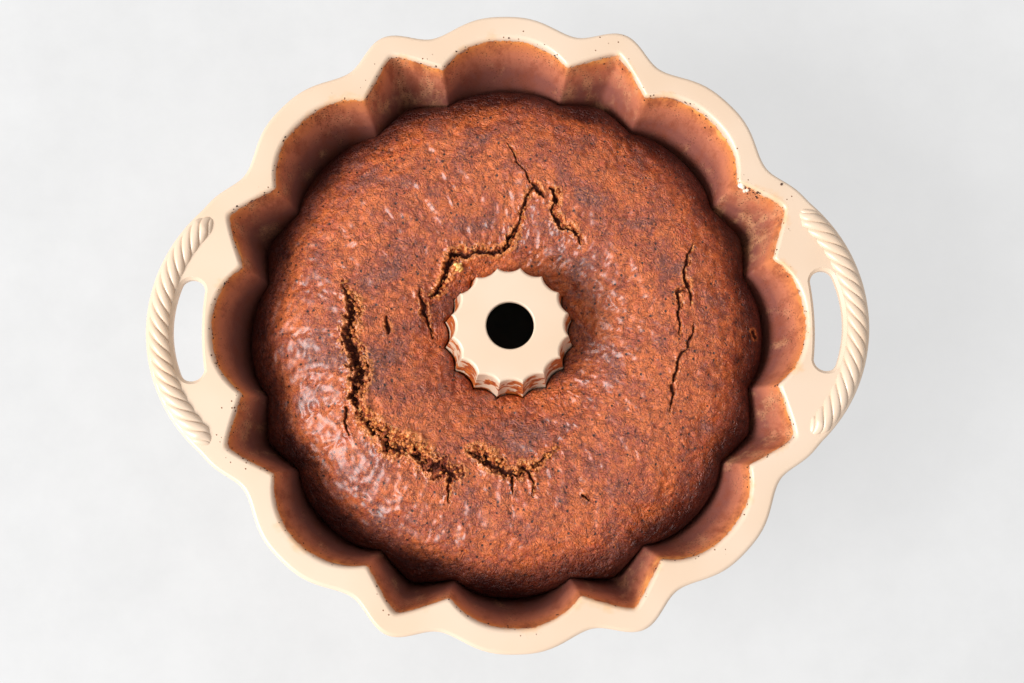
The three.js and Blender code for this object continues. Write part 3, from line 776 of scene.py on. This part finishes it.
def raiseCrust(piece, samples):
    s = cakeShape
    points = meshPoints(piece)
    top = readValues(piece, "onTop") > 0.999
    toWall, toTube = readValues(piece, "toWall")[top], readValues(piece, "toTube")[top]
    x, y = points[top, 0], points[top, 1]
    flat = np.column_stack([x, y, np.zeros(len(x))])
    r, turns = np.hypot(x, y), np.degrees(np.arctan2(y, x))
    z = mould["height"] - cakeTopDepth(r, turns)

    calm = smoothStep(0, 8, np.minimum(toWall, toTube + 3))
    z += calm * s["lumpRise"] * grainField(flat, 26, 1, 2)
    z += calm * s["dimpleRise"] * grainField(flat, 9, 2, 2)
    pucker = 1 - np.abs(grainField(flat, 5.5, 5, 3)) * 2.6       # ridged: the skin wrinkles as it sets
    z += calm * s["wrinkleRise"] * pucker
    z += s["grainRise"] * grainField(flat, 2.4, 6, 2)

    fall = s["edgeRound"]
    z -= fall - np.sqrt(np.maximum(fall ** 2 - np.maximum(fall - toWall, 0) ** 2, 0))
    fall = s["innerRound"]
    z -= fall - np.sqrt(np.maximum(fall ** 2 - np.maximum(fall - toTube, 0) ** 2, 0))

    distance, tear = nearestTear(flat, samples, 14.0)
    halfWidth, depth, spread, moist = tear[:, 2], tear[:, 3], tear[:, 4], tear[:, 5]
    towards = ((x - tear[:, 0]) * 0.85 + (y - tear[:, 1]) * 0.53) / np.maximum(distance, 0.1)
    spread = spread * mix(0.35, 1.35, smoothStep(-0.8, 0.8, towards))      # wider on the lifted side
    ragged, lumpy = grainField(flat, 2.6, 8, 3), grainField(flat, 1.7, 9, 2)
    width = halfWidth * (1 + 0.75 * ragged + 0.6 * grainField(flat, 1.2, 13, 2)) + 0.12
    core = smoothStep(1.0, 0.35, distance / np.maximum(width, 0.1))
    least = np.where(moist > 0.5, 0.0, np.where(moist > 0.3, -0.5, -0.22))        # moist crumb bridges more
    holes = smoothStep(least, least + 0.3, grainField(flat, 3.0, 10, 2))           # bridges between the pits
    pit = core * mix(1, holes, smoothStep(0.6, 1.2, spread + 0.8 * moist))
    patchy = smoothStep(-0.35, 0.15, grainField(flat, 9.0, 12, 2))
    spread = spread * mix(0.3, 1, patchy)
    zone = smoothStep(1.1, 0.7, distance / (width + np.maximum(spread * (0.85 + 1.1 * ragged), 0.1)))
    zone *= smoothStep(0.3, 0.6, spread + moist)
    crumb = zone * (1 - pit)
    z -= 0.75 * depth * pit * (1 + 0.5 * lumpy)
    z += zone * (0.9 * lumpy - 0.3)
    beside = np.maximum(distance - width - spread, 0)
    lip = np.exp(-(beside / 1.3) ** 2) * smoothStep(0.1, 1.3, halfWidth) * (1 - zone)
    z += lip * (1 - core) * (0.5 + 0.5 * ragged)
    z += 0.5 * np.exp(-(distance / 7.0) ** 2) * smoothStep(0.8, 2.2, halfWidth)      # swollen round a tear

    points[top, 2] = z
    piece.data.vertices.foreach_set("co", (points * mm).astype(np.float32).ravel())
    everywhere = np.zeros(len(points))
    for name, values in (("pit", pit), ("crumb", crumb), ("moist", moist * zone), ("lip", lip)):
        everywhere[:] = 0
        everywhere[top] = values
        writeValues(piece, name, everywhere)
    # closeness to the pan wall, which darkens the crust: partly deeper browning, partly painted shade of the
    # gap
    nearWall = np.ones(len(points))
    nearWall[top] = smoothStep(26, 1, mix(toWall, 109 - r, 0.6))
    writeValues(piece, "nearWall", nearWall)
    piece.data.update()


def buildCake():
    rings, marks = cakeGrid()
    count = len(rings[0])
    piece = makePiece("cakeCrust", np.concatenate(rings), loopFaces(len(rings), count, closed=True))
    values = np.concatenate(marks)
    for i, name in enumerate(("onTop", "toWall", "toTube")):
        writeValues(piece, name, values[:, i])
    faceOutwards(piece)
    samples = tearSamples()
    for reach, share in ((2.0, 1.0), (0.6, 0.4)):
        subdivideNear(piece, samples, reach, share)
    raiseCrust(piece, samples)
    piece.data.shade_smooth()
    return piece, samples


crustLook = {
    "mottle": ["#86463A", "#AC4A26", "#D0662C", "#B24822"],        # plum, red-brown, orange, red-brown
    # edge: the dark crust by the pan wall, partly deeper browning and partly painted shade
    "dark": "#541606", "orange": "#E47E38", "edge": "#420E04", "lip": "#E88C44",
    "crumb": ["#5A1E0A", "#AC4A1C", "#D87C38", "#EFB06C"], "moistCrumb": "#8A4030",
    # pit and pore: painted shade inside the tears and the burst bubbles
    "pit": "#5A220E", "pore": "#3A1208",
    "roughness": (0.32, 0.55), "reliefDepth": 1.0,
    "gloss": 0.72, "glossRoughness": 0.37, "glossIor": 1.58,
    "grains": {                # size in mm, detail, roughness, distortion
        "broad": (18, 7.0, 0.62, 0.0), "close": (2.4, 5.0, 0.72, 0.0), "fine": (1.0, 3.0, 0.62, 0.0),
        "torn": (1.5, 3.0, 0.6, 0.0), "skin": (3.4, 3.0, 0.58, 1.0),
    },
    "bubbleCell": 3.0,
}


def crustMaterial():
    # Dark sugar-browned crust: a thin, tight, slightly sticky skin. It reads glossy in small broken
    # glints, since the skin is wrinkled and full of tiny burst bubbles, and it is mottled at every size.
    look = crustLook
    material, tree = newMaterial("brownedCakeCrust")
    place = addNode(tree, "TexCoord", take="Object")
    shown = {}
    for name in ("pit", "crumb", "moist", "lip", "nearWall"):
        shown[name] = addNode(tree, "Attribute", take="Fac", attribute_name=name)
    pit, crumbShow = shown["pit"], shown["crumb"]
    grain = {}
    for name, (size, detail, roughness, distortion) in look["grains"].items():
        grain[name] = addNode(tree, "TexNoise", {
            "Vector": place, "Scale": perMetre(size), "Detail": detail, "Roughness": roughness,
            "Distortion": distortion,
        })
    broad, close, fine, skin = [grain[n] for n in ("broad", "close", "fine", "skin")]

    mottle = addNode(tree, "ValToRGB", {0: broad}, stops=list(zip((0.36, 0.47, 0.56, 0.68), look["mottle"])))
    darkened = addNode(tree, "MapRange", {"Value": close, "From Min": 0.47, "From Max": 0.66, "To Max": 0.85})
    lit = addNode(tree, "MapRange", {"Value": fine, "From Min": 0.50, "From Max": 0.64, "To Max": 0.5})
    # darker towards the pan wall: partly deeper browning, partly painted shade of the gap to the pan
    edge = addNode(tree, "Math", {0: broad, 1: 0.9, 2: shown["nearWall"]}, operation="MULTIPLY_ADD")
    edge = addNode(tree, "Math", {0: close, 1: 0.35, 2: edge}, operation="MULTIPLY_ADD")
    edge = addNode(tree, "MapRange", {"Value": edge, "From Min": 1.12, "From Max": 1.72},
                   interpolation_type="SMOOTHSTEP")
    lipTone = addNode(tree, "Math", {0: fine, 1: 0.9, 2: shown["lip"]}, operation="MULTIPLY_ADD")
    lipTone = addNode(tree, "MapRange", {"Value": lipTone, "From Min": 0.75, "From Max": 1.3, "To Max": 0.75})

    # burst bubbles, drawn from 0.5 mm up since finer ones wouldn't show; their dark colour is painted shade
    # inside them
    cellInputs = {"Vector": place, "Scale": perMetre(look["bubbleCell"])}
    bubble = addNode(tree, "TexVoronoi", cellInputs)
    bubble = addNode(tree, "Math", {0: fine, 1: 0.14, 2: bubble}, operation="MULTIPLY_ADD")
    bubble = addNode(tree, "MapRange", {"Value": bubble, "From Min": 0.29, "From Max": 0.19})
    bubbleColour = addNode(tree, "TexVoronoi", cellInputs, take="Color")
    bubblePick = addNode(tree, "SeparateColor", {0: bubbleColour})
    chosen = addNode(tree, "MapRange", {"Value": bubblePick, "From Min": 0.55, "From Max": 0.59})
    pore = addNode(tree, "Math", {0: bubble, 1: chosen}, operation="MULTIPLY")

    # the open crumb beside the tears, and their dark insides, painted shade of the deep tears
    crumb = addNode(tree, "ValToRGB", {0: grain["torn"]},
                    stops=list(zip((0.36, 0.45, 0.54, 0.64), look["crumb"])))
    crumb = addNode(tree, "Mix", {0: shown["moist"], 6: crumb, 7: look["moistCrumb"]}, take=2,
                    data_type="RGBA", blend_type="MULTIPLY")
    inside = addNode(tree, "MapRange", {"Value": pit, "From Min": 0.2, "From Max": 0.8})
    colour = mottle
    for amount, over in (
        (darkened, look["dark"]), (lit, look["orange"]), (edge, look["edge"]), (lipTone, look["lip"]),
        (pore, look["pore"]), (crumbShow, crumb), (inside, look["pit"]),
    ):
        colour = addNode(tree, "Mix", {0: amount, 6: colour, 7: over}, take=2, data_type="RGBA")

    folded = addNode(tree, "MapRange", {"Value": skin, "From Min": 0.5, "From Max": 1.0, "To Max": 1.0},
                     clamp=False)
    folded = addNode(tree, "Math", {0: folded}, operation="ABSOLUTE")
    relief = addNode(tree, "Math", {0: close, 1: 0.75}, operation="MULTIPLY")
    for height, share in ((folded, -2.0), (fine, 0.7), (pore, -1.0)):
        relief = addNode(tree, "Math", {0: height, 1: share, 2: relief}, operation="MULTIPLY_ADD")
    bump = addNode(tree, "Bump", {"Height": relief, "Distance": look["reliefDepth"] * mm, "Strength": 1.0})
    opened = addNode(tree, "Math", {0: pit, 1: crumbShow}, operation="MAXIMUM")
    smoothest, roughest = look["roughness"]
    rough = addNode(tree, "MapRange", {"Value": skin, "From Min": 0.35, "From Max": 0.65,
                                       "To Min": smoothest, "To Max": roughest})
    rough = addNode(tree, "Math", {0: opened, 1: 0.4, 2: rough}, operation="MULTIPLY_ADD")
    dull = addNode(tree, "Math", {0: opened, 1: edge}, operation="MAXIMUM")
    gloss = addNode(tree, "MapRange", {"Value": dull, "To Min": look["gloss"], "To Max": 0.0})
    surface = addNode(tree, "BsdfPrincipled", {
        "Base Color": colour, "Roughness": rough, "Normal": bump, "IOR": 1.45,
        "Coat Weight": gloss, "Coat Roughness": look["glossRoughness"], "Coat IOR": look["glossIor"],
    })
    addNode(tree, "OutputMaterial", {"Surface": surface})
    return material


print("cake")
cakePiece, tearLine = buildCake()
cakePiece.data.materials.append(crustMaterial())
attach(cakePiece, "root")
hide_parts("cake")


def lumpTemplate():
    work = bmesh.new()
    bmesh.ops.create_icosphere(work, subdivisions=2, radius=1.0)
    points = np.array([v.co for v in work.verts])
    faces = [[v.index for v in f.verts] for f in work.faces]
    work.free()
    return points, faces


def scatterLumps(name, places, sizes, seed, flatness=0.75):
    dice = random.Random(seed)
    template, templateFaces = lumpTemplate()
    points, faces = [], []
    for (x, y, z), size in zip(places, sizes):
        long, wide, high = dice.uniform(0.75, 1.3), dice.uniform(0.7, 1.1), dice.uniform(0.7, 1.0)
        stretch = np.array([long, wide, high * flatness])
        bumps = 1 + 0.45 * grainField(template + 10 * dice.random(), 0.7, seed, 2)
        turned = np.array(Matrix.Rotation(dice.uniform(0, 2 * math.pi), 3, "Z"))
        lump = (template * bumps[:, None] * stretch * size / 2) @ turned.T + np.array([x, y, z])
        base = len(points) * len(template)
        faces += [[base + i for i in face] for face in templateFaces]
        points.append(lump)
    piece = makePiece(name, np.concatenate(points), faces)
    piece.data.shade_smooth()
    return piece


def crumbMaterial(name, deep, pale, roughness):
    # Open cake crumb: matt and soft-looking, paler where it is dry and darker where it is moist.
    material, tree = newMaterial(name)
    place = addNode(tree, "TexCoord", take="Object")
    tone = addNode(tree, "TexNoise", {"Vector": place, "Scale": perMetre(1.6), "Detail": 3.0})
    colour = addNode(tree, "ValToRGB", {0: tone}, stops=[(0.38, deep), (0.62, pale)])
    fine = addNode(tree, "TexNoise", {"Vector": place, "Scale": perMetre(0.5), "Detail": 2.0})
    bump = addNode(tree, "Bump", {"Height": fine, "Distance": 0.15 * mm, "Strength": 0.6})
    surface = addNode(tree, "BsdfPrincipled", {
        "Base Color": colour, "Roughness": roughness, "Normal": bump, "IOR": 1.45,
    })
    addNode(tree, "OutputMaterial", {"Surface": surface})
    return material


crumbs = {
    "tornCount": 250, "tornSize": (0.6, 1.9), "tornColours": ("#6E2A0E", "#D2803E"),
    "loose": [(-21.8, 29.6, 3.0), (-20.6, 28.4, 2.2), (-23, 30.6, 2.0), (-21, 30.8, 1.7), (-22.6, 28.4, 1.6)],
    "looseColours": ("#C98A34", "#F2CF86"),
    "bitCount": 270, "bitSize": (0.25, 0.95), "bitColours": ("#2A130B", "#5A3220"),
    "bitOnFlange": (119, 60, 1.3),
    "chips": [(101.5, 60.0, 3.6), (101.0, 56.5, 2.8), (103.5, 58.5, 2.0)],
    "chipColours": ("#D8C0A4", "#F4E8D8"),
}


def crustHeight():             # a function of x and y that gives the crust's height
    surface = meshPoints(cakePiece)[readValues(cakePiece, "onTop") > 0.999]
    tree = flatTree(surface)
    return lambda x, y: surface[tree.find((x, y, 0))[1]][2]


def tornCrumbs():
    dice = random.Random(11)
    height = crustHeight()
    places, sizes = [], []
    candidates = tearLine[tearLine[:, 4] > 1.0]
    while len(places) < crumbs["tornCount"]:
        x, y, halfWidth, _, spread, moist = candidates[dice.randrange(len(candidates))]
        along = dice.uniform(-0.35, 1.0) * (halfWidth + spread)        # mostly on the lifted side
        x += 0.85 * along + dice.gauss(0, 0.6)
        y += 0.53 * along + dice.gauss(0, 0.6)
        if dice.random() < moist:
            continue
        size = dice.uniform(*crumbs["tornSize"])
        places.append((x, y, height(x, y) + 0.08 * size))
        sizes.append(size)
    return places, sizes


def looseCrumbs():             # the pale pieces that lie in the open
    height = crustHeight()
    places = [(x, y, height(x, y) + 0.15 * size) for x, y, size in crumbs["loose"]]
    return places, [size for _, _, size in crumbs["loose"]]


def lipPoint(turn, depth):     # on the wall's face, which rounds over at the lip
    lip = panShape["lipRound"]
    level = min(1, depth / lip)
    rounding = lip * (1 - math.sqrt(1 - (1 - level) ** 2))
    r = float(wallRadius(np.array([turn]), np.array([depth]))[0]) + rounding
    angle = math.radians(turn)
    return r * math.cos(angle), r * math.sin(angle), mould["height"] - depth


def wallBits():                # dark bits of batter that dried on the wall's upper part and on the lip
    dice = random.Random(23)
    places, sizes = [], []
    while len(places) < crumbs["bitCount"]:
        turn = dice.uniform(-180, 180)
        backLeft = math.cos(math.radians(turn - 150) / 2) ** 6     # the bits are thickest there
        if dice.random() > 0.35 + 0.65 * backLeft:
            continue
        places.append(lipPoint(turn, abs(dice.gauss(0, 3.2)) + 0.15))
        sizes.append(dice.uniform(*crumbs["bitSize"]))
    for x, y, size in crumbs["chips"]:
        for _ in range(7):
            turn = math.degrees(math.atan2(y, x)) + dice.gauss(0, 1.4)
            places.append(lipPoint(turn, abs(dice.gauss(0, 3.0)) + 0.5))
            sizes.append(dice.uniform(0.5, 1.2))
    x, y, size = crumbs["bitOnFlange"]
    places.append((x, y, mould["height"] + 0.1 * size))
    sizes.append(size)
    return places, sizes


def filmChips():               # bare flakes where the film has lifted off a ridge
    places = []
    for i, (x, y, size) in enumerate(crumbs["chips"]):
        places.append(lipPoint(math.degrees(math.atan2(y, x)), 1.5 + 1.6 * i))
    return places, [size for _, _, size in crumbs["chips"]]


print("crumbs")
for name, (places, sizes), slotName, madeOf, colours, roughness in (
    ("tornCrumbs", tornCrumbs(), "cake_crust", "carrotCakeCrumb", crumbs["tornColours"], 0.75),
    ("looseCrumbs", looseCrumbs(), "cake_crust", "paleDryCrumb", crumbs["looseColours"], 0.7),
    ("wallBits", wallBits(), "cake_crust", "driedBatter", crumbs["bitColours"], 0.6),
    ("filmChips", filmChips(), "pan_coating", "liftedEnamelFlake", crumbs["chipColours"], 0.4),
):
    crumbPiece = scatterLumps(name, places, sizes, seed=len(places))
    crumbPiece.data.materials.append(crumbMaterial(madeOf, *colours, roughness))
    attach(crumbPiece, "root")

studio = {
    "floorSize": 6.0, "floorPale": "#6A6A6A", "floorDull": "#5E5E5E", "floorGlow": 0.635, "cloudGrain": 60,
    "glowFrom": 0.090, "glowTo": 0.115,        # painted shade: the floor's glow is left off under the pan
    "skyStrength": 0.66,
    "keyPower": 124.0, "keySize": (1.5, 1.25), "keyPlace": (-2.1, -0.72, 1.9),
    "cameraPlace": (-0.0165, -0.0922, 0.7086), "lens": 50.0,
    "cameraTurns": (-1.64, 8.09, -1.13),       # degrees about Y, X and Z
}


def floorMaterial():
    # Pale matt floor, rubbed with a cloudy wash. Its glow is painted light that keeps the pan's shadow on it
    # soft and faint; the glow is left off under the pan, painted shade there.
    material, tree = newMaterial("paleFloorPaintedGlow")
    place = addNode(tree, "TexCoord", take="Object")
    cloud = addNode(tree, "TexNoise", {"Vector": place, "Scale": perMetre(studio["cloudGrain"]),
                                       "Detail": 6.0, "Roughness": 0.7})
    washed = [(0.35, studio["floorDull"]), (0.65, studio["floorPale"])]
    colour = addNode(tree, "ValToRGB", {0: cloud}, stops=washed)
    away = addNode(tree, "VectorMath", {0: place}, take="Value", operation="LENGTH")
    glow = addNode(tree, "MapRange", {"Value": away, "From Min": studio["glowFrom"],
                                      "From Max": studio["glowTo"], "To Max": studio["floorGlow"]})
    surface = addNode(tree, "BsdfPrincipled", {
        "Base Color": colour, "Roughness": 0.8, "Emission Color": "#FFFFFF", "Emission Strength": glow,
    })
    addNode(tree, "OutputMaterial", {"Surface": surface})
    return material


def buildStudio():
    half = studio["floorSize"] / 2 / mm
    corners = [(-half, -half, 0), (half, -half, 0), (half, half, 0), (-half, half, 0)]
    floor = makePiece("floor", corners, [[0, 1, 2, 3]])
    floor.data.materials.append(floorMaterial())

    world = bpy.data.worlds.new("softRoom")
    bpy.context.scene.world = world
    world.use_nodes = True
    sky = world.node_tree.nodes["Background"]
    sky.inputs["Color"].default_value = (1.0, 1.0, 1.0, 1.0)
    sky.inputs["Strength"].default_value = studio["skyStrength"]

    light = bpy.data.lights.new("window", "AREA")
    light.shape, light.energy = "RECTANGLE", studio["keyPower"]
    light.size, light.size_y = studio["keySize"]
    lamp = bpy.data.objects.new("window", light)
    lamp.location = studio["keyPlace"]
    aim = Vector((0, 0, 0.1)) - lamp.location
    lamp.rotation_mode = "QUATERNION"
    lamp.rotation_quaternion = aim.to_track_quat("-Z", "Y")
    bpy.context.scene.collection.objects.link(lamp)

    camera = bpy.data.objects.new("camera", bpy.data.cameras.new("camera"))
    camera.data.lens, camera.data.sensor_width = studio["lens"], 36.0
    aboutY, aboutX, aboutZ = [math.radians(a) for a in studio["cameraTurns"]]
    turn = Matrix.Rotation(aboutY, 4, "Y") @ Matrix.Rotation(aboutX, 4, "X")
    turn = turn @ Matrix.Rotation(aboutZ, 4, "Z")
    camera.matrix_world = Matrix.Translation(studio["cameraPlace"]) @ turn
    bpy.context.scene.collection.objects.link(camera)
    bpy.context.scene.camera = camera
    bpy.context.scene.view_settings.view_transform = "Standard"


print("studio")
buildStudio()
